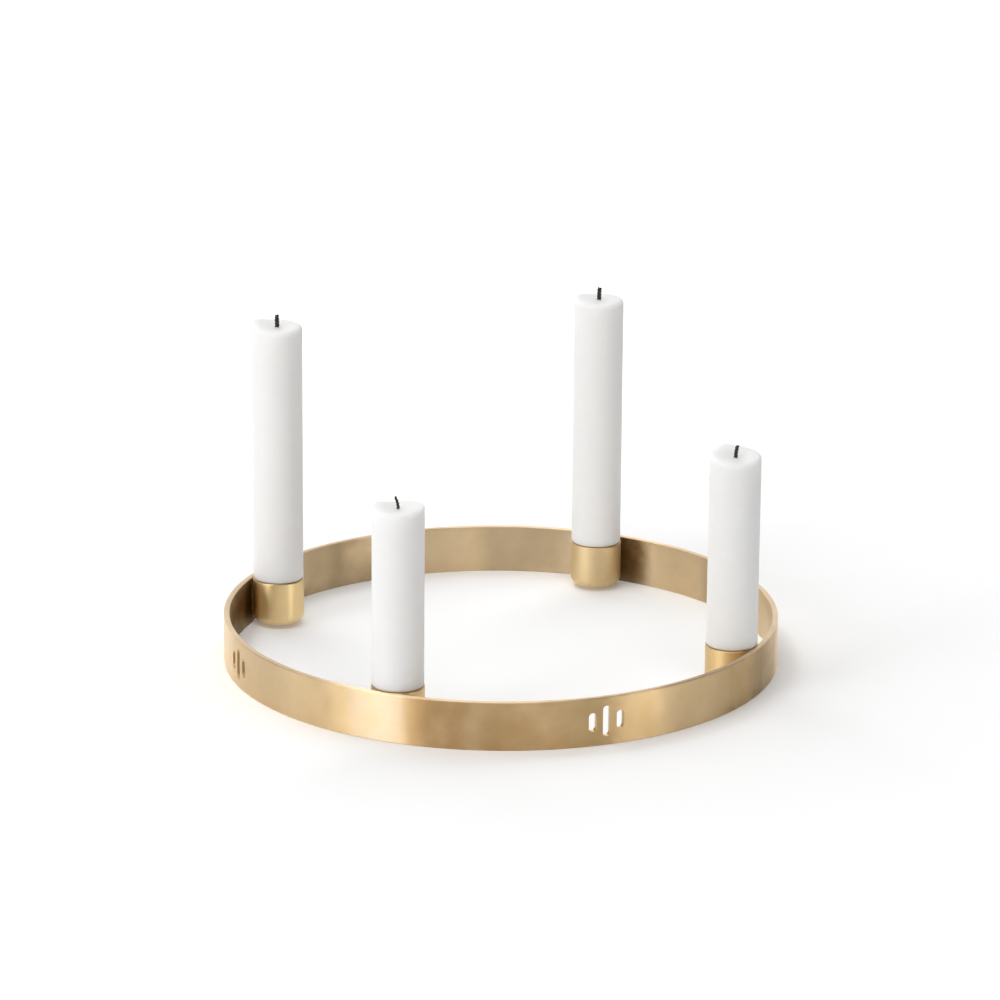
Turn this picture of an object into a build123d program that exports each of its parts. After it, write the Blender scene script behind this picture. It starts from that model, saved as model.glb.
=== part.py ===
"""Advent candle ring: a rolled brass band with four cups let into it and brazed, and a candle in each cup.

Millimetres, +Z up. The origin is on the table at the centre of the ring, and the cups stand on X and Y.
"""

import os
from math import degrees, radians, tan

from build123d import *

# Band: flat bar rolled on edge into a hoop, its two ends butted and brazed
band_outer_diameter = 240.0
band_height = 21.0
band_thickness = 2.5
band_edge_radius = 0.4
seam_width = 0.4
seam_angle = 90.0

# Slots: upright and round-ended, in groups of three midway between the cups
slot_width = 3.4
slot_pitch = 6.2
middle_slot_length = 13.4
side_slot_length = 8.2

# Candles: round wax sticks with a narrower foot, their tops melted on a slant to a pool round the wick
candle_diameter = 22.0
candle_edge_radius = 1.8
melted_rim_width = 0.4
foot_step = 0.8
foot_taper = 0.4
shoulder_gap = 0.1
shoulder_round_share = 0.9
lift_clearance = 0.3

# Wax above the cup's rim on each candle's high side, and the depth of the pool under the rim at the wick
right_candle_height = 86.3
back_candle_height = 114.2
left_candle_height = 117.2
front_candle_height = 78.2
right_pool_depth = 2.1
back_pool_depth = 1.0
left_pool_depth = 1.7
front_pool_depth = 1.4

# Slant of each melted top, and the way that it runs down, in degrees
right_melt_angle = 8.5
back_melt_angle = 3.0
left_melt_angle = 6.0
front_melt_angle = 1.5
right_melt_heading = 323.0
back_melt_heading = 349.0
left_melt_heading = 333.0
front_melt_heading = 113.0

# Wicks: how much stands out of the pool, how far it curls over in degrees, and which way
wick_diameter = 2.0
wick_length = 5.8
right_wick_curl = 14.0
back_wick_curl = 4.0
left_wick_curl = 4.0
front_wick_curl = 28.0
right_wick_heading = 23.0
back_wick_heading = 23.0
left_wick_heading = 203.0
front_wick_heading = 203.0

# Cups: drawn from thin sheet to take the candle's foot, rims level with the band's top edge
cup_wall = 0.8
cup_bottom_radius = 4.0
cup_table_gap = 1.3

# Brazing: each cup stands in a shallow seat across the band's inner face, with filler drawn in round it
seat_depth = 1.05
braze_gap = 0.15
braze_width = 11.0
braze_rim_drop = 0.6

# Every cut runs past the faces that it goes through by this much
cut_overrun = 5.0

band_outer_radius = band_outer_diameter / 2
band_inner_radius = band_outer_radius - band_thickness
band_middle_radius = band_outer_radius - band_thickness / 2

candle_radius = candle_diameter / 2
wick_radius = wick_diameter / 2
foot_radius = candle_radius - foot_step

cup_inner_radius = foot_radius + lift_clearance
cup_outer_radius = cup_inner_radius + cup_wall
cup_flat_radius = cup_outer_radius - cup_bottom_radius
cup_inner_bottom_radius = cup_bottom_radius - cup_wall
cup_bottom = cup_table_gap
cup_floor = cup_bottom + cup_wall
cup_rim = band_height
seat_radius = cup_outer_radius + braze_gap
cup_circle_radius = band_inner_radius + seat_depth - seat_radius

cup_angles = {"right": 0, "back": 90, "left": 180, "front": 270}
slot_group_angles = [angle + 45 for angle in cup_angles.values()]
slot_pitch_angle = degrees(slot_pitch / band_outer_radius)

UP = Vector(0, 0, 1)


def heading(angle):
    """Level direction at this angle round the ring, from +X towards +Y."""
    return Vector(1, 0, 0).rotate(Axis.Z, angle)


def cup_centre(angle):
    """Centre of the cup at this angle, on the table."""
    return heading(angle) * cup_circle_radius


def upright_plane(origin, angle):
    """Standing plane whose local x points along the heading and whose local y points up."""
    return Plane(origin=origin, x_dir=heading(angle), z_dir=heading(angle).cross(UP))


def slot_plane(angle):
    """Plane on the band's outer face, at mid height, whose local y points up."""
    origin = heading(angle) * band_outer_radius + UP * (band_height / 2)
    return Plane(origin=origin, x_dir=UP.cross(heading(angle)), z_dir=heading(angle))


def save(builder, name):
    """Label the finished piece and write it to its own file."""
    builder.part.label = name
    export_step(builder.part, f"parts/{name}.step")


def hoop_profile():
    """Section of the flat bar, standing on edge, with its corners eased."""
    with BuildSketch(upright_plane(Vector(0, 0, 0), seam_angle + 180)) as profile:
        with Locations((band_middle_radius, band_height / 2)):
            RectangleRounded(band_thickness, band_height, band_edge_radius)
    return profile


def seam_slice():
    """Footprint of the butt joint, reaching past both faces of the band."""
    outward = heading(seam_angle)
    joint_plane = Plane(origin=outward * band_middle_radius, x_dir=outward, z_dir=UP)
    with BuildSketch(joint_plane) as footprint:
        Rectangle(band_thickness + 2 * cut_overrun, seam_width)
    return footprint


def seat_footprint():
    """Footprint of the four seats that the cups stand in."""
    with BuildSketch() as footprint:
        with Locations(*[cup_centre(angle) for angle in cup_angles.values()]):
            Circle(seat_radius)
    return footprint


def make_band():
    """Hoop with its seam left open, the cups' seats cut down its inner face and its slots cut through."""
    with BuildPart() as band:
        revolve(hoop_profile().sketch, axis=Axis.Z)
        extrude(seam_slice().sketch, amount=band_height, mode=Mode.SUBTRACT)
        extrude(seat_footprint().sketch, amount=band_height, mode=Mode.SUBTRACT)
        with BuildSketch(*[slot_plane(angle) for angle in slot_group_angles]):
            SlotOverall(middle_slot_length, slot_width, rotation=90)
        side_angles = [
            angle + side * slot_pitch_angle for angle in slot_group_angles for side in (-1, 1)
        ]
        with BuildSketch(*[slot_plane(angle) for angle in side_angles]):
            SlotOverall(side_slot_length, slot_width, rotation=90)
        extrude(amount=band_thickness + cut_overrun, both=True, mode=Mode.SUBTRACT)
    return band


def make_band_seam():
    """Braze metal that closes the hoop, dressed flush with the bar."""
    with BuildPart() as seam:
        revolve(hoop_profile().sketch, axis=Axis.Z)
        extrude(seam_slice().sketch, amount=band_height, mode=Mode.INTERSECT)
        extrude(seat_footprint().sketch, amount=band_height, mode=Mode.SUBTRACT)
    return seam


def make_cup(angle):
    """Drawn cup: straight wall, generous bottom corner, flat base and a rounded lip."""
    lip_radius = cup_wall / 2
    lip_base = cup_rim - lip_radius
    wall_foot = cup_bottom + cup_bottom_radius
    centre = cup_centre(angle)
    with BuildPart() as cup:
        with BuildSketch(upright_plane(centre, angle)):
            with BuildLine():
                Polyline(
                    (cup_flat_radius, cup_floor),
                    (0, cup_floor),
                    (0, cup_bottom),
                    (cup_flat_radius, cup_bottom),
                )
                CenterArc((cup_flat_radius, wall_foot), cup_bottom_radius, -90, 90)
                Line((cup_outer_radius, wall_foot), (cup_outer_radius, lip_base))
                CenterArc((cup_inner_radius + lip_radius, lip_base), lip_radius, 0, 180)
                Line((cup_inner_radius, lip_base), (cup_inner_radius, wall_foot))
                CenterArc((cup_flat_radius, wall_foot), cup_inner_bottom_radius, -90, 90)
            make_face()
        revolve(axis=Axis(centre, UP))
    return cup


def make_braze(angle):
    """Filler between a cup and the band: a thin skin in the seat, filling the crevice to either side."""
    braze_bottom = cup_bottom + cup_bottom_radius
    braze_height = cup_rim - braze_rim_drop - braze_bottom
    plane = Plane(origin=cup_centre(angle) + UP * braze_bottom, x_dir=heading(angle), z_dir=UP)
    with BuildPart() as braze:
        with BuildSketch(plane):
            Circle(seat_radius)
            with Locations((-cup_circle_radius, 0)):
                Circle(band_inner_radius)
            Rectangle(
                seat_radius + cut_overrun,
                braze_width,
                align=(Align.MIN, Align.CENTER),
                mode=Mode.INTERSECT,
            )
            Circle(cup_outer_radius, mode=Mode.SUBTRACT)
        extrude(amount=braze_height)
    return braze


def melt_level(candle_height, slant):
    """Height of the melted rim's slanting plane where the candle's axis goes through it."""
    return cup_rim + candle_height - candle_radius * tan(radians(slant))


def make_candle(angle, candle_height, pool_depth, slant, slant_heading):
    """Wax stick: pointed foot, rounded shoulder above the cup, slanting dished top, bore for the wick."""
    shoulder = cup_rim + shoulder_gap
    shoulder_radius = foot_step * shoulder_round_share
    underside_radius = candle_radius - shoulder_radius
    side_bottom = shoulder + shoulder_radius
    top = cup_rim + candle_height
    foot_end_radius = cup_flat_radius - lift_clearance
    point_height = cup_floor + cup_inner_bottom_radius
    pool_radius = candle_radius - candle_edge_radius - melted_rim_width
    dish_radius = (pool_radius**2 + pool_depth**2) / (2 * pool_depth)
    centre = cup_centre(angle)
    melt_plane = Plane(
        origin=centre + UP * melt_level(candle_height, slant),
        x_dir=heading(slant_heading + 90),
        z_dir=UP + heading(slant_heading) * tan(radians(slant)),
    )
    with BuildPart() as candle:
        with BuildSketch(upright_plane(centre, slant_heading)):
            with BuildLine():
                Polyline(
                    (underside_radius, shoulder),
                    (foot_radius, shoulder),
                    (foot_radius - foot_taper, point_height),
                    (foot_end_radius, cup_floor),
                    (0, cup_floor),
                    (0, top),
                    (candle_radius, top),
                    (candle_radius, side_bottom),
                )
                CenterArc((underside_radius, side_bottom), shoulder_radius, -90, 90)
            make_face()
        revolve(axis=Axis(centre, UP))
        with BuildSketch(melt_plane):
            Circle(candle_diameter)
        extrude(amount=candle_diameter, mode=Mode.SUBTRACT)
        fillet(candle.faces().sort_by(Axis.Z)[-1].edges(), candle_edge_radius)
        with Locations(melt_plane.offset(dish_radius - pool_depth)):
            Sphere(dish_radius, rotation=(90, 0, 0), mode=Mode.SUBTRACT)
        with BuildSketch(Plane(origin=centre + UP * cup_floor)):
            Circle(wick_radius)
        extrude(amount=candle_height + band_height, mode=Mode.SUBTRACT)
    return candle


def make_wick(angle, pool, curl, curl_heading):
    """Cotton wick: straight down the candle's bore, curling over where it stands out of the pool."""
    centre = cup_centre(angle)
    with BuildPart() as wick:
        with BuildLine(upright_plane(centre, curl_heading)) as route:
            bore_run = Line((0, cup_floor), (0, pool))
            JernArc(bore_run @ 1, bore_run % 1, wick_length / radians(curl), -curl)
        with BuildSketch(Plane(origin=centre + UP * cup_floor)):
            Circle(wick_radius)
        sweep(path=route.wire())
    return wick


candle_heights = {
    "right": right_candle_height,
    "back": back_candle_height,
    "left": left_candle_height,
    "front": front_candle_height,
}
pool_depths = {
    "right": right_pool_depth,
    "back": back_pool_depth,
    "left": left_pool_depth,
    "front": front_pool_depth,
}
melt_angles = {
    "right": (right_melt_angle, right_melt_heading),
    "back": (back_melt_angle, back_melt_heading),
    "left": (left_melt_angle, left_melt_heading),
    "front": (front_melt_angle, front_melt_heading),
}
wick_curls = {
    "right": (right_wick_curl, right_wick_heading),
    "back": (back_wick_curl, back_wick_heading),
    "left": (left_wick_curl, left_wick_heading),
    "front": (front_wick_curl, front_wick_heading),
}

os.makedirs("parts", exist_ok=True)
save(make_band(), "band")
save(make_band_seam(), "band_seam")
for place, angle in cup_angles.items():
    candle_height = candle_heights[place]
    pool_depth = pool_depths[place]
    slant, slant_heading = melt_angles[place]
    pool = melt_level(candle_height, slant) - pool_depth
    save(make_cup(angle), f"cup_{place}")
    save(make_braze(angle), f"braze_{place}")
    save(make_candle(angle, candle_height, pool_depth, slant, slant_heading), f"candle_{place}")
    save(make_wick(angle, pool, *wick_curls[place]), f"wick_{place}")
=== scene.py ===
import math
import random

import bpy
from mathutils import Matrix, Vector


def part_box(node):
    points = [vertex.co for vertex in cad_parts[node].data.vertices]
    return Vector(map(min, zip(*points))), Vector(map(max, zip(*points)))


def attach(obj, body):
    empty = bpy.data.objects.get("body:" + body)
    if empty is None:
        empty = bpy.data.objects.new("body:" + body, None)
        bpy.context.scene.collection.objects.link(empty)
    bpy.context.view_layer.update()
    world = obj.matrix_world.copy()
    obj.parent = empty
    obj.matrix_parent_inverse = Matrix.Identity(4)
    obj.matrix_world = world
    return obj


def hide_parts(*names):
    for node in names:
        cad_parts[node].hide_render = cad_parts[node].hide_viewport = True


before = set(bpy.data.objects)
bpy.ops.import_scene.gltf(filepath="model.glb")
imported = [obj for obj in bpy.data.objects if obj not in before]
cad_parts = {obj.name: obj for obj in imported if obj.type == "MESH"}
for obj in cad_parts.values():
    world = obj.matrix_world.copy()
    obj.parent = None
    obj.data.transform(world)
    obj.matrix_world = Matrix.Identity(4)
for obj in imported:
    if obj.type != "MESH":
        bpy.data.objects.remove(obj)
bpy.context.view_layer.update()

PLACES = ("right", "back", "left", "front")
MILLIMETRE = 0.001
UP = Vector((0.0, 0.0, 1.0))

# Photograph's view: angles in degrees, distances in metres, lens and sensor in millimetres
VIEW_AZIMUTH = 23.44
VIEW_ELEVATION = 17.47
VIEW_DISTANCE = 2.234
VIEW_ROLL = 0.45
VIEW_TARGET_HEIGHT = 0.0708
VIEW_TARGET_RIGHT = -0.0008
FOCAL_LENGTH = 186.8
SENSOR_WIDTH = 36.0
FARTHEST_SEEN = 60.0


def view_axes():
    """Unit vectors from the ring to the camera, to the picture's right and to its top."""
    azimuth = math.radians(VIEW_AZIMUTH)
    elevation = math.radians(VIEW_ELEVATION)
    back = Vector((
        math.sin(azimuth) * math.cos(elevation),
        -math.cos(azimuth) * math.cos(elevation),
        math.sin(elevation),
    ))
    right = Vector((math.cos(azimuth), math.sin(azimuth), 0.0))
    return back, right, back.cross(right)


# Shader helpers


def node(tree, kind, inputs=None, **settings):
    """Adds a shader node; inputs maps a socket's name or index to a value or to the socket feeding it."""
    made = tree.nodes.new(kind)
    for name, value in settings.items():
        setattr(made, name, value)
    for key, value in (inputs or {}).items():
        if isinstance(value, bpy.types.NodeSocket):
            tree.links.new(value, made.inputs[key])
        else:
            made.inputs[key].default_value = value
    return made


def math_node(tree, operation, a, b=0.0):
    return node(tree, "ShaderNodeMath", {0: a, 1: b}, operation=operation).outputs[0]


def vector_node(tree, operation, *vectors):
    return node(tree, "ShaderNodeVectorMath", dict(enumerate(vectors)), operation=operation)


def remap(tree, value, low, high, to_low, to_high, smooth=False):
    """Value taken from low..high to to_low..to_high, clamped."""
    made = node(
        tree,
        "ShaderNodeMapRange",
        {"Value": value, "From Min": low, "From Max": high, "To Min": to_low, "To Max": to_high},
        interpolation_type="SMOOTHSTEP" if smooth else "LINEAR",
    )
    return made.outputs["Result"]


def mix_colours(tree, factor, first, second):
    made = node(tree, "ShaderNodeMix", {0: factor, 6: first, 7: second}, data_type="RGBA")
    return made.outputs[2]


def noise(tree, vector, scale, detail=3.0, roughness=0.55):
    inputs = {"Vector": vector, "Scale": scale, "Detail": detail, "Roughness": roughness}
    return node(tree, "ShaderNodeTexNoise", inputs).outputs["Fac"]


def stretched(tree, vector, scale):
    return node(tree, "ShaderNodeMapping", {"Vector": vector, "Scale": scale}).outputs["Vector"]


def bump(tree, height, strength, distance, normal=None):
    inputs = {"Height": height, "Strength": strength, "Distance": distance}
    if normal:
        inputs["Normal"] = normal
    return node(tree, "ShaderNodeBump", inputs).outputs["Normal"]


def blank_material(name):
    """New material with its tree, its shader and object coordinates in metres."""
    material = bpy.data.materials.new(name)
    material.use_nodes = True
    tree = material.node_tree
    coordinates = node(tree, "ShaderNodeTexCoord").outputs["Object"]
    return material, tree, tree.nodes["Principled BSDF"], coordinates


def feed(tree, shader, **sockets):
    """Links sockets to the shader's inputs of the same name, with _ for a space."""
    for name, socket in sockets.items():
        tree.links.new(socket, shader.inputs[name.replace("_", " ")])


def dress(obj, material):
    obj.data.materials.clear()
    obj.data.materials.append(material)


# Materials


RIM_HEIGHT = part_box("band")[1][2]
BAND_THICKNESS = 0.0025
BAND_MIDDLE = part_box("band")[1][0] - BAND_THICKNESS / 2

# Tones of the patches on the band, partly patina and partly painted light: pale and silvery ones paint
# highlights, ruddy and brown ones paint shade
PALE_PATINA_AND_HIGHLIGHT = (0.93, 0.71, 0.43, 1.0)
SILVERY_HIGHLIGHT = (0.74, 0.61, 0.46, 1.0)
RUDDY_PATINA_AND_SHADE = (0.60, 0.36, 0.16, 1.0)
BROWN_PAINTED_SHADE = (0.26, 0.175, 0.09, 1.0)

# The patches: heading round the ring and half width in degrees, strength and tone. Where a face turns
# towards the camera, the pale and silvery patches are painted highlights and reflections and the ruddy and
# brown ones painted shade; elsewhere the patches are patina.
OUTSIDE_PATCHES = (
    (231.0, 30.0, 0.9, PALE_PATINA_AND_HIGHLIGHT),
    (268.0, 8.0, 0.7, SILVERY_HIGHLIGHT),
    (281.0, 8.0, 0.75, RUDDY_PATINA_AND_SHADE),
    (298.0, 12.0, 0.5, RUDDY_PATINA_AND_SHADE),
    (336.0, 12.0, 0.65, PALE_PATINA_AND_HIGHLIGHT),
    (4.0, 11.0, 0.5, BROWN_PAINTED_SHADE),
    (58.0, 22.0, 0.6, PALE_PATINA_AND_HIGHLIGHT),
    (112.0, 14.0, 0.5, RUDDY_PATINA_AND_SHADE),
    (160.0, 26.0, 0.6, PALE_PATINA_AND_HIGHLIGHT),
)
# Inner face: pale patches turned towards the camera are painted reflections, and brown ones are painted
# shade beside the cups and between them.
INSIDE_PATCHES = (
    (36.0, 14.0, 0.7, PALE_PATINA_AND_HIGHLIGHT),
    (70.0, 9.0, 0.6, PALE_PATINA_AND_HIGHLIGHT),
    (87.0, 9.5, 0.9, BROWN_PAINTED_SHADE),
    (125.0, 10.0, 0.8, PALE_PATINA_AND_HIGHLIGHT),
    (147.5, 9.0, 0.4, BROWN_PAINTED_SHADE),
    (192.0, 16.0, 0.9, BROWN_PAINTED_SHADE),
    (300.0, 24.0, 0.6, PALE_PATINA_AND_HIGHLIGHT),
)

# Light tone, dark tone and patches of each face of the band, and its rims, which handling has kept pale
BAND_OUTSIDE = ((0.84, 0.635, 0.36, 1.0), (0.72, 0.505, 0.255, 1.0), OUTSIDE_PATCHES)
BAND_INSIDE = ((0.80, 0.635, 0.42, 1.0), (0.67, 0.51, 0.31, 1.0), INSIDE_PATCHES)
BAND_WORN = (0.80, 0.61, 0.40, 1.0)
BAND_ROUGHNESS = 0.40
BAND_BRUSHING = 1.0
CUP_WORN = (0.76, 0.57, 0.32, 1.0)

# Each cup's light tone, dark tone, roughness and brushing; the tones differ from cup to cup as painted
# light, painted brighter on the left cup and duller on the back one
CUP_FINISHES_WITH_PAINTED_LIGHT = {
    "right": ((0.88, 0.67, 0.37, 1.0), (0.78, 0.58, 0.29, 1.0), 0.56, 0.5),
    "back": ((0.77, 0.61, 0.365, 1.0), (0.69, 0.535, 0.30, 1.0), 0.58, 0.4),
    "left": ((0.98, 0.79, 0.47, 1.0), (0.89, 0.68, 0.36, 1.0), 0.43, 0.8),
    "front": ((0.87, 0.665, 0.365, 1.0), (0.76, 0.57, 0.295, 1.0), 0.45, 0.75),
}

# Grain of the brass, in waves per metre
CLOUD_SCALE = 28.0
BLOTCH_SCALE = 95.0
BRUSH_SCALE = (45.0, 45.0, 5200.0)
WAVINESS_SCALE = (90.0, 90.0, 60.0)

# Rims: how far down the wear fades out, where it is full, and how much of the patina it takes off
WEAR_END = 0.0006
WEAR_FULL = 0.0001
WEAR_SHARE = 0.9

# Half the width over which the band's inner tone meets the outer one, in the middle of the rim
FACE_BLEND = 0.0001

# Share of a patch's half width that has its full tone, and share of its strength in its thinnest places
PATCH_CORE = 0.4
PATCH_THIN = 0.55


def patch_reach(tree, level, blotches, heading, half_width, strength):
    """Strength of one patch at each place, fading out raggedly from its middle."""
    turn = math.radians(heading)
    towards = (math.cos(turn), math.sin(turn), 0.0)
    facing = vector_node(tree, "NORMALIZE", level).outputs["Vector"]
    near = vector_node(tree, "DOT_PRODUCT", facing, towards).outputs["Value"]
    edge = math.cos(math.radians(half_width))
    middle = math.cos(math.radians(PATCH_CORE * half_width))
    faded = remap(tree, near, edge, middle, 0.0, 1.0, smooth=True)
    ragged = remap(tree, blotches, 0.3, 0.6, PATCH_THIN * strength, strength)
    return math_node(tree, "MULTIPLY", faded, ragged)


def patina_and_painted_light(tree, level, clouds, blotches, light, dark, patches):
    """Cloudy mix of two tones with darker blotches, and patches of patina, painted highlight and painted
    shade.
    """
    tone = mix_colours(tree, remap(tree, clouds, 0.32, 0.68, 0.0, 1.0, smooth=True), light, dark)
    tone = mix_colours(tree, remap(tree, blotches, 0.55, 0.75, 0.0, 0.35, smooth=True), tone, dark)
    for heading, half_width, strength, patch_tone in patches:
        reach = patch_reach(tree, level, blotches, heading, half_width, strength)
        tone = mix_colours(tree, reach, tone, patch_tone)
    return tone


def brass_material(name, outside, inside, worn, roughness, brushing):
    """Satin brass: cloudy patina with patches of painted highlight and shade, fine brushing round the piece,
    a paler worn rim.
    """
    material, tree, shader, place = blank_material(name)
    clouds = noise(tree, place, CLOUD_SCALE, detail=4.0, roughness=0.6)
    blotches = noise(tree, place, BLOTCH_SCALE)
    brush = noise(tree, stretched(tree, place, BRUSH_SCALE), 1.0, detail=2.0, roughness=0.7)
    waviness = noise(tree, stretched(tree, place, WAVINESS_SCALE), 1.0, detail=1.0)
    axes = node(tree, "ShaderNodeSeparateXYZ", {0: place}).outputs
    height = axes["Z"]
    level = node(tree, "ShaderNodeCombineXYZ", {0: axes["X"], 1: axes["Y"]}).outputs[0]
    radius = vector_node(tree, "LENGTH", level).outputs["Value"]
    rim = remap(tree, height, RIM_HEIGHT - WEAR_END, RIM_HEIGHT - WEAR_FULL, 0.0, WEAR_SHARE, smooth=True)

    outer_tone = patina_and_painted_light(tree, level, clouds, blotches, *outside)
    inner_tone = patina_and_painted_light(tree, level, clouds, blotches, *inside)
    face = remap(tree, radius, BAND_MIDDLE - FACE_BLEND, BAND_MIDDLE + FACE_BLEND, 0.0, 1.0)
    tone = mix_colours(tree, face, inner_tone, outer_tone)
    mottled = remap(tree, blotches, 0.3, 0.7, roughness - 0.03, roughness + 0.04)
    gloss = math_node(tree, "ADD", mottled, remap(tree, brush, 0.3, 0.7, -0.03, 0.03))
    lines = bump(tree, brush, strength=0.3, distance=0.0001)
    round_axis = node(tree, "ShaderNodeTangent", direction_type="RADIAL", axis="Z")
    feed(
        tree,
        shader,
        Base_Color=mix_colours(tree, rim, tone, worn),
        Roughness=gloss,
        Normal=bump(tree, waviness, strength=0.35, distance=0.0004, normal=lines),
        Tangent=round_axis.outputs["Tangent"],
    )
    shader.inputs["Metallic"].default_value = 1.0
    shader.inputs["Anisotropic"].default_value = brushing
    shader.inputs["Anisotropic Rotation"].default_value = 0.25
    return material


def band_material():
    """Brass of the band, toned differently on its inner and outer faces."""
    return brass_material(
        "band_brass", BAND_OUTSIDE, BAND_INSIDE, BAND_WORN, BAND_ROUGHNESS, BAND_BRUSHING
    )


def cup_material(place):
    """Brass of one cup, alike inside and outside and without patches; its tones carry painted light."""
    light, dark, roughness, brushing = CUP_FINISHES_WITH_PAINTED_LIGHT[place]
    tones = (light, dark, ())
    return brass_material(f"cup_brass_{place}", tones, tones, CUP_WORN, roughness, brushing)


BRAZE_GRAIN = 900.0
BRAZE_LIGHT = (0.50, 0.36, 0.19, 1.0)
BRAZE_DARK = (0.36, 0.27, 0.16, 1.0)


def braze_material():
    """Dull filler metal with the grain left by dressing it flush."""
    material, tree, shader, place = blank_material("braze")
    grain = noise(tree, place, BRAZE_GRAIN, detail=4.0)
    feed(
        tree,
        shader,
        Base_Color=mix_colours(tree, grain, BRAZE_LIGHT, BRAZE_DARK),
        Roughness=remap(tree, grain, 0.3, 0.7, 0.4, 0.6),
        Normal=bump(tree, grain, strength=0.2, distance=0.0001),
    )
    shader.inputs["Metallic"].default_value = 1.0
    return material


# Wax: streaks up the candle, the bloom on its skin, and a ring of painted shade warmed by a painted brass
# reflection where the wax meets the cup's lip
STREAK_SCALE = (420.0, 420.0, 14.0)
STREAK_LIGHT = (0.865, 0.862, 0.857, 1.0)
STREAK_DARK = (0.840, 0.836, 0.829, 1.0)
BLOOM_SCALE = 140.0
BLOOM = (0.880, 0.878, 0.874, 1.0)
LIP_PAINTED_SHADE = (0.70, 0.52, 0.30, 1.0)
LIP_PAINTED_SHADE_HEIGHT = 0.0012
LIGHT_DEPTH = 0.007


def wax_material():
    """White wax: light sinks in a little, and a ring of painted shade with a painted brass reflection runs
    round it at the cup's lip.
    """
    material, tree, shader, place = blank_material("wax")
    streaks = noise(tree, stretched(tree, place, STREAK_SCALE), 1.0)
    bloom = noise(tree, place, BLOOM_SCALE, detail=4.0)
    tint = mix_colours(tree, streaks, STREAK_LIGHT, STREAK_DARK)
    tint = mix_colours(tree, remap(tree, bloom, 0.45, 0.75, 0.0, 0.5), tint, BLOOM)
    height = node(tree, "ShaderNodeSeparateXYZ", {0: place}).outputs["Z"]
    # Painted shade warmed by a painted brass reflection, in a narrow band round the cup's lip
    above = remap(tree, height, RIM_HEIGHT, RIM_HEIGHT + LIP_PAINTED_SHADE_HEIGHT, 1.0, 0.0, smooth=True)
    below = remap(tree, height, RIM_HEIGHT - LIP_PAINTED_SHADE_HEIGHT, RIM_HEIGHT, 0.0, 1.0, smooth=True)
    tint = mix_colours(tree, math_node(tree, "MULTIPLY", above, below), tint, LIP_PAINTED_SHADE)
    feed(
        tree,
        shader,
        Base_Color=tint,
        Roughness=remap(tree, bloom, 0.3, 0.7, 0.55, 0.7),
        Normal=bump(tree, streaks, strength=0.12, distance=0.0002),
    )
    shader.inputs["IOR"].default_value = 1.44
    shader.inputs["Specular IOR Level"].default_value = 0.3
    shader.inputs["Subsurface Weight"].default_value = 0.9
    shader.inputs["Subsurface Radius"].default_value = (1.0, 0.93, 0.86)
    shader.inputs["Subsurface Scale"].default_value = LIGHT_DEPTH
    return material


FIBRE_SCALE = (2600.0, 2600.0, 700.0)
CHAR = (0.022, 0.020, 0.019, 1.0)
ASH = (0.085, 0.078, 0.072, 1.0)


def wick_material():
    """Charred cotton: near black, with grey ash on the fibres."""
    material, tree, shader, place = blank_material("wick")
    fibres = noise(tree, stretched(tree, place, FIBRE_SCALE), 1.0, detail=4.0)
    ash = remap(tree, fibres, 0.4, 0.75, 0.0, 1.0)
    feed(
        tree,
        shader,
        Base_Color=mix_colours(tree, ash, CHAR, ASH),
        Roughness=remap(tree, fibres, 0.3, 0.7, 0.75, 0.95),
        Normal=bump(tree, fibres, strength=0.6, distance=0.0002),
    )
    return material


# Candles


# Sizes in metres, counts of steps in the mesh, and the turn of the side's wobble from foot to rim in radians
FOOT_STEP = 0.0008
FOOT_TAPER = 0.0004
FOOT_END_RADIUS = 0.0070
FOOT_POINT_HEIGHT = 0.0032
SHOULDER_GAP = 0.0001
SHOULDER_STEPS = 4
SIDE_STEPS = 44
EDGE_STEPS = 10
POOL_STEPS = 18
SEGMENTS = 128
SKIN_WOBBLE = 0.00004
SIDE_TWIST = 9.0
RIM_WOBBLE = 0.00005
CLINGING_WAX = 0.0003
CLINGING_REACH = 0.0008

# Melted rims: millimetres under each candle's highest point, every 30 degrees from the picture's right,
# going away from the camera first
RIM_DROPS = {
    "right": (2.1, 1.55, 1.3, 0.6, 0.0, 1.0, 1.4, 2.1, 2.8, 3.3, 3.4, 2.9),
    "back": (0.95, 0.85, 0.9, 1.15, 0.65, 0.0, 0.25, 0.65, 1.05, 1.3, 1.3, 1.15),
    "left": (1.7, 1.8, 1.75, 1.55, 1.15, 0.2, 0.0, 0.6, 1.9, 2.5, 2.5, 2.1),
    "front": (0.0, 0.2, 0.7, 1.15, 0.9, 0.15, 0.05, 0.5, 1.0, 1.2, 1.1, 0.5),
}

# Pools: millimetres under each candle's highest point at the wick
POOL_DROPS = {"right": 3.45, "back": 1.5, "left": 2.7, "front": 1.75}

# Rounding of the rim where it stands highest and where it has sunk lowest
SHARP_EDGE = 0.0010
SOFT_EDGE = 0.0022


def smooth_step(share):
    return share * share * (3.0 - 2.0 * share)


def seeded_wave(seed):
    """Smooth wobble between -1 and 1 round a circle."""
    draw = random.Random(seed)
    terms = [(order, draw.uniform(0.0, math.tau), draw.uniform(0.4, 1.0) / order) for order in (2, 3, 5, 7)]
    total = sum(size for _, _, size in terms)
    return lambda angle: sum(size * math.sin(order * angle + phase) for order, phase, size in terms) / total


def rim_drop(place, angle):
    """Drop of the melted rim at an angle round the candle, in a smooth curve through the table's values."""
    drops = RIM_DROPS[place]
    step = (math.degrees(angle) - VIEW_AZIMUTH) * len(drops) / 360.0
    index = math.floor(step)
    share = step - index
    before, start, end, after = (drops[(index + k) % len(drops)] for k in (-1, 0, 1, 2))
    bend = 2.0 * before - 5.0 * start + 4.0 * end - after
    twist = 3.0 * (start - end) + after - before
    drop = start + 0.5 * share * (end - before + share * (bend + share * twist))
    return max(drop, 0.0) * MILLIMETRE


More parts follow.
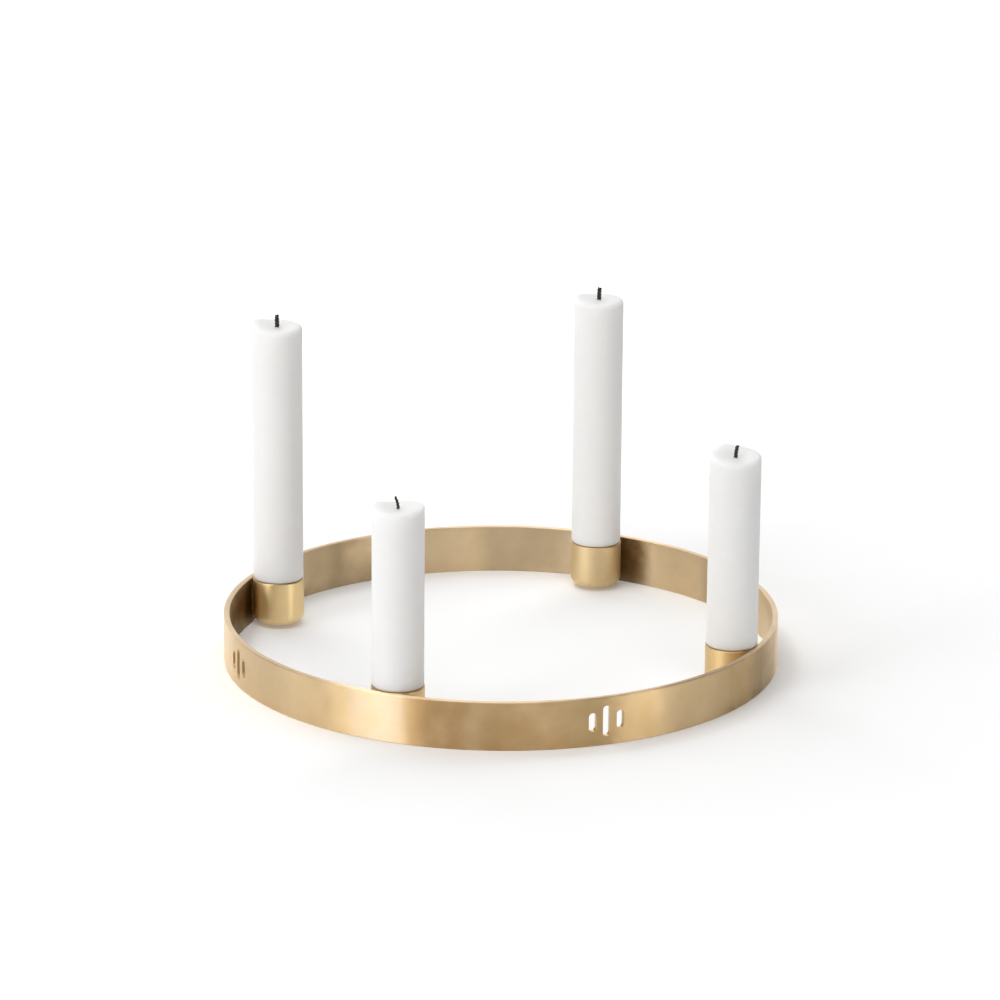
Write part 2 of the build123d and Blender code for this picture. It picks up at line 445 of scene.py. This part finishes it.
def candle_outline(place, angle, radius, bottom, top, wave):
    """Radius and height from the foot's middle, up the side and over the rim to the wick, at one angle."""
    shoulder = RIM_HEIGHT + SHOULDER_GAP
    foot = radius - FOOT_STEP
    drop = rim_drop(place, angle)
    rim = top - drop - RIM_WOBBLE * (1.0 + wave(angle))
    pool = top - POOL_DROPS[place] * MILLIMETRE
    edge = SHARP_EDGE + (SOFT_EDGE - SHARP_EDGE) * drop / (max(RIM_DROPS[place]) * MILLIMETRE)
    skin = radius - SKIN_WOBBLE
    outline = [
        (FOOT_END_RADIUS, bottom),
        (foot - FOOT_TAPER, bottom + FOOT_POINT_HEIGHT),
        (foot, shoulder),
    ]
    for step in range(1, SHOULDER_STEPS + 1):
        turn = math.radians(90.0 * step / SHOULDER_STEPS)
        outline.append((foot + FOOT_STEP * math.sin(turn), shoulder + FOOT_STEP * (1.0 - math.cos(turn))))
    side_bottom = shoulder + FOOT_STEP
    for step in range(1, SIDE_STEPS):
        share = step / SIDE_STEPS
        wobble = SKIN_WOBBLE * math.sin(math.pi * share) * (1.0 + wave(angle + SIDE_TWIST * share)) / 2
        outline.append((skin - wobble, side_bottom + share * (rim - edge - side_bottom)))
    for step in range(EDGE_STEPS + 1):
        turn = math.radians(90.0 * step / EDGE_STEPS)
        outline.append((skin - edge * (1.0 - math.cos(turn)), rim - edge * (1.0 - math.sin(turn))))
    for step in range(1, POOL_STEPS):
        share = 1.0 - step / POOL_STEPS
        reach = share * (skin - edge)
        clinging = CLINGING_WAX * math.exp(-reach / CLINGING_REACH)
        outline.append((reach, pool + (rim - pool) * smooth_step(share) + clinging))
    return outline, pool + CLINGING_WAX


def add_mesh(name, points, faces, material):
    mesh = bpy.data.meshes.new(name)
    mesh.from_pydata(points, [], faces)
    mesh.validate()
    for face in mesh.polygons:
        face.use_smooth = True
    piece = bpy.data.objects.new(name, mesh)
    bpy.context.scene.collection.objects.link(piece)
    dress(piece, material)
    return piece


def tube_faces(first, rings, sides):
    """Quads between rings of points that follow each other from index first."""
    faces = []
    for ring in range(rings - 1):
        start = first + ring * sides
        for side in range(sides):
            after = (side + 1) % sides
            faces.append((start + side, start + after, start + sides + after, start + sides + side))
    return faces


def candle_centre(place):
    """Point on the table under the middle of a candle."""
    low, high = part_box(f"candle_{place}")
    return Vector(((low[0] + high[0]) / 2, (low[1] + high[1]) / 2, 0.0))


def make_candle(place, material):
    """Wax stick whose top follows the melted rim and pool of the photograph's candle."""
    low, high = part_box(f"candle_{place}")
    centre = candle_centre(place)
    radius = (high[0] - low[0]) / 2
    wave = seeded_wave(f"{place} top")
    columns = []
    for segment in range(SEGMENTS):
        angle = math.tau * segment / SEGMENTS
        outline, middle = candle_outline(place, angle, radius, low[2], high[2], wave)
        out = Vector((math.cos(angle), math.sin(angle), 0.0))
        columns.append([centre + out * reach + UP * height for reach, height in outline])
    rings = len(columns[0])
    points = [column[ring] for ring in range(rings) for column in columns]
    faces = tube_faces(0, rings, SEGMENTS)
    last = (rings - 1) * SEGMENTS
    points += [centre + UP * low[2], centre + UP * middle]
    for segment in range(SEGMENTS):
        after = (segment + 1) % SEGMENTS
        faces.append((after, segment, rings * SEGMENTS))
        faces.append((last + segment, last + after, rings * SEGMENTS + 1))
    candle = add_mesh(f"wax_{place}", points, faces, material)
    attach(candle, f"{place}_candle")
    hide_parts(f"candle_{place}")


# Wicks


# Length out of the pool, and the strands and the braid that they make, in metres
WICK_LENGTH = 0.0058
STRAND_RADIUS = 0.00045
STRAND_SIDES = 8
STRAND_STEP = 0.00035
BRAID_WIDTH = 0.00055
BRAID_DEPTH = 0.00025
BRAID_PITCH = 0.0042

# Size of a strand's burnt end, and how much of the full size each ring before it gains
TIP_SIZE = 0.75
TIP_GAIN = 0.15

# How far each wick curls over and its bearing in degrees
WICK_CURLS = {"right": (14.0, 23.0), "back": (4.0, 23.0), "left": (4.0, 203.0), "front": (28.0, 203.0)}

# Thickness of each wick at the pool and at the tip, as shares of the sizes above
WICK_THICKNESS = {
    "right": (0.92, 0.85),
    "back": (1.08, 1.08),
    "left": (1.08, 1.08),
    "front": (0.75, 0.55),
}

# Millimetres burnt away from each strand
BURNT_STRANDS = {
    "right": (0.0, 0.3, 0.5),
    "back": (0.1, 0.0, 0.3),
    "left": (0.0, 0.2, 0.9),
    "front": (0.0, 0.5, 0.2),
}


def wick_line(place, bottom, pool, burnt):
    """Distance past the pool, point and direction, up the bore and round the curl."""
    centre = candle_centre(place)
    curl, bearing = WICK_CURLS[place]
    lean = Vector((math.cos(math.radians(bearing)), math.sin(math.radians(bearing)), 0.0))
    bend_radius = WICK_LENGTH / math.radians(curl)
    length = pool - bottom + WICK_LENGTH - burnt
    steps = int(length / STRAND_STEP)
    line = []
    for step in range(steps + 1):
        past = length * step / steps - (pool - bottom)
        turn = max(past, 0.0) / bend_radius
        point = centre + UP * (pool + min(past, 0.0) + bend_radius * math.sin(turn))
        point += lean * bend_radius * (1.0 - math.cos(turn))
        line.append((past, point, UP * math.cos(turn) + lean * math.sin(turn)))
    return line


def strand_points(place, line, phase):
    """Rings of points round one strand as it weaves from side to side of the wick's line."""
    _, right, _ = view_axes()
    at_pool, at_tip = WICK_THICKNESS[place]
    points = []
    for index, (past, point, along) in enumerate(line):
        thickness = at_pool + (at_tip - at_pool) * max(past, 0.0) / WICK_LENGTH
        turn = math.tau * past / BRAID_PITCH + phase
        across = (right - along * right.dot(along)).normalized()
        deep = along.cross(across)
        weave = across * BRAID_WIDTH * math.sin(turn) + deep * BRAID_DEPTH * math.sin(2.0 * turn)
        size = STRAND_RADIUS * thickness * min(1.0, TIP_SIZE + TIP_GAIN * (len(line) - 1 - index))
        for side in range(STRAND_SIDES):
            angle = math.tau * side / STRAND_SIDES
            ring = across * math.cos(angle) + deep * math.sin(angle)
            points.append(point + weave * thickness + ring * size)
    return points


def make_wick(place, material):
    """Braid of three strands, charred off at slightly different lengths."""
    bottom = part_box(f"wick_{place}")[0][2]
    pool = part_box(f"candle_{place}")[1][2] - POOL_DROPS[place] * MILLIMETRE
    points = []
    faces = []
    for strand, burnt in enumerate(BURNT_STRANDS[place]):
        line = wick_line(place, bottom, pool, burnt * MILLIMETRE)
        first = len(points)
        points += strand_points(place, line, math.tau * strand / len(BURNT_STRANDS[place]))
        faces += tube_faces(first, len(line), STRAND_SIDES)
        faces.append(tuple(first + side for side in reversed(range(STRAND_SIDES))))
        faces.append(tuple(len(points) - STRAND_SIDES + side for side in range(STRAND_SIDES)))
    wick = add_mesh(f"braided_wick_{place}", points, faces, material)
    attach(wick, f"{place}_candle")
    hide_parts(f"wick_{place}")


# Stage


FLOOR_HALF = 12.0
FLOOR_DROP = 0.0001

# The floor's own glow at the ring and far off, and how far from the ring's middle each begins
NEAR_GLOW = 0.13
FAR_GLOW = 0.42
NEAR_REACH = 0.13
FAR_REACH = 0.6

PAPER_FIBRE = 60.0
PAPER_LIGHT = (0.90, 0.90, 0.90, 1.0)
PAPER_DARK = (0.89, 0.89, 0.89, 1.0)
WHITE = (1.0, 1.0, 1.0, 1.0)


def floor_material():
    """White paper: lit and shaded by the lamps near the ring, and glowing up to white further off."""
    material, tree, shader, place = blank_material("floor")
    paper = mix_colours(tree, noise(tree, place, PAPER_FIBRE), PAPER_LIGHT, PAPER_DARK)
    distance = vector_node(tree, "LENGTH", place).outputs["Value"]
    path = node(tree, "ShaderNodeLightPath")
    seen = math_node(tree, "MAXIMUM", path.outputs["Is Camera Ray"], path.outputs["Is Glossy Ray"])
    seen = math_node(tree, "MAXIMUM", seen, path.outputs["Is Transmission Ray"])
    glow = remap(tree, distance, NEAR_REACH, FAR_REACH, NEAR_GLOW, FAR_GLOW, smooth=True)
    feed(tree, shader, Base_Color=paper, Emission_Strength=math_node(tree, "MULTIPLY", seen, glow))
    shader.inputs["Emission Color"].default_value = WHITE
    shader.inputs["Roughness"].default_value = 0.9
    shader.inputs["Specular IOR Level"].default_value = 0.0
    return material


def studio_floor():
    corners = [(-1, -1), (1, -1), (1, 1), (-1, 1)]
    points = [(FLOOR_HALF * x, FLOOR_HALF * y, -FLOOR_DROP) for x, y in corners]
    add_mesh("floor", points, [(0, 1, 2, 3)], floor_material())


LAMP_DISTANCE = 3.2
LAMP_AIM = 0.05
WORLD_STRENGTH = 0.02

# Softboxes: bearing to the right of the camera as seen from the ring, elevation, width and height,
# all in degrees, and brightness
SOFTBOXES = {
    "key": (-45.0, 13.0, 15.0, 24.0, 6.5),
    "key_side": (-60.0, 13.0, 15.0, 24.0, 4.0),
    "left_wall": (-82.5, 13.0, 30.0, 24.0, 1.25),
    "left_far_wall": (-127.5, 13.0, 60.0, 24.0, 0.4),
    "front_fill": (24.0, 13.0, 30.0, 24.0, 0.5),
    "right_strip": (56.5, 4.5, 21.0, 8.0, 8.3),
    "right_wall": (82.5, 13.0, 30.0, 24.0, 0.5),
    "back_wall": (180.0, 15.0, 80.0, 28.0, 1.0),
    "window_left": (-60.0, 38.0, 30.0, 26.0, 0.7),
    "window_back": (180.0, 42.0, 84.0, 24.0, 1.6),
    "high_left": (-100.0, 65.0, 90.0, 22.0, 1.7),
    "high_front": (-12.0, 65.0, 90.0, 22.0, 3.3),
    "high_back": (190.0, 65.0, 90.0, 22.0, 2.2),
}


def softbox(name, bearing, elevation, width, height, radiance):
    """Area lamp facing the ring."""
    heading = math.radians(VIEW_AZIMUTH - 90.0 + bearing)
    tilt = math.radians(elevation)
    away = Vector((math.cos(heading) * math.cos(tilt), math.sin(heading) * math.cos(tilt), math.sin(tilt)))
    data = bpy.data.lights.new(name, "AREA")
    data.shape = "RECTANGLE"
    data.size = 2.0 * LAMP_DISTANCE * math.tan(math.radians(width / 2)) * math.cos(tilt)
    data.size_y = 2.0 * LAMP_DISTANCE * math.tan(math.radians(height / 2))
    data.energy = radiance * math.pi * data.size * data.size_y
    lamp = bpy.data.objects.new(name, data)
    lamp.location = UP * LAMP_AIM + away * LAMP_DISTANCE
    lamp.rotation_euler = away.to_track_quat("Z", "Y").to_euler()
    lamp.visible_camera = False
    bpy.context.scene.collection.objects.link(lamp)


def studio_lights():
    for name, spec in SOFTBOXES.items():
        softbox(name, *spec)
    world = bpy.data.worlds.new("studio")
    bpy.context.scene.world = world
    world.use_nodes = True
    backdrop = world.node_tree.nodes["Background"]
    backdrop.inputs["Color"].default_value = WHITE
    backdrop.inputs["Strength"].default_value = WORLD_STRENGTH


def photo_camera():
    back, right, up = view_axes()
    roll = math.radians(VIEW_ROLL)
    across = right * math.cos(roll) + up * math.sin(roll)
    target = UP * VIEW_TARGET_HEIGHT + right * VIEW_TARGET_RIGHT
    data = bpy.data.cameras.new("photo_camera")
    data.lens = FOCAL_LENGTH
    data.sensor_width = SENSOR_WIDTH
    data.clip_end = FARTHEST_SEEN
    camera = bpy.data.objects.new("photo_camera", data)
    turn = Matrix((across, back.cross(across), back)).transposed()
    camera.matrix_world = Matrix.Translation(target + back * VIEW_DISTANCE) @ turn.to_4x4()
    bpy.context.scene.collection.objects.link(camera)
    bpy.context.scene.camera = camera


braze = braze_material()
wax = wax_material()
charred_cotton = wick_material()

dress(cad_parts["band"], band_material())
dress(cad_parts["band_seam"], braze)
for place in PLACES:
    dress(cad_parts[f"cup_{place}"], cup_material(place))
    dress(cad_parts[f"braze_{place}"], braze)
    make_candle(place, wax)
    make_wick(place, charred_cotton)

studio_floor()
studio_lights()
photo_camera()
bpy.context.scene.view_settings.view_transform = "Standard"
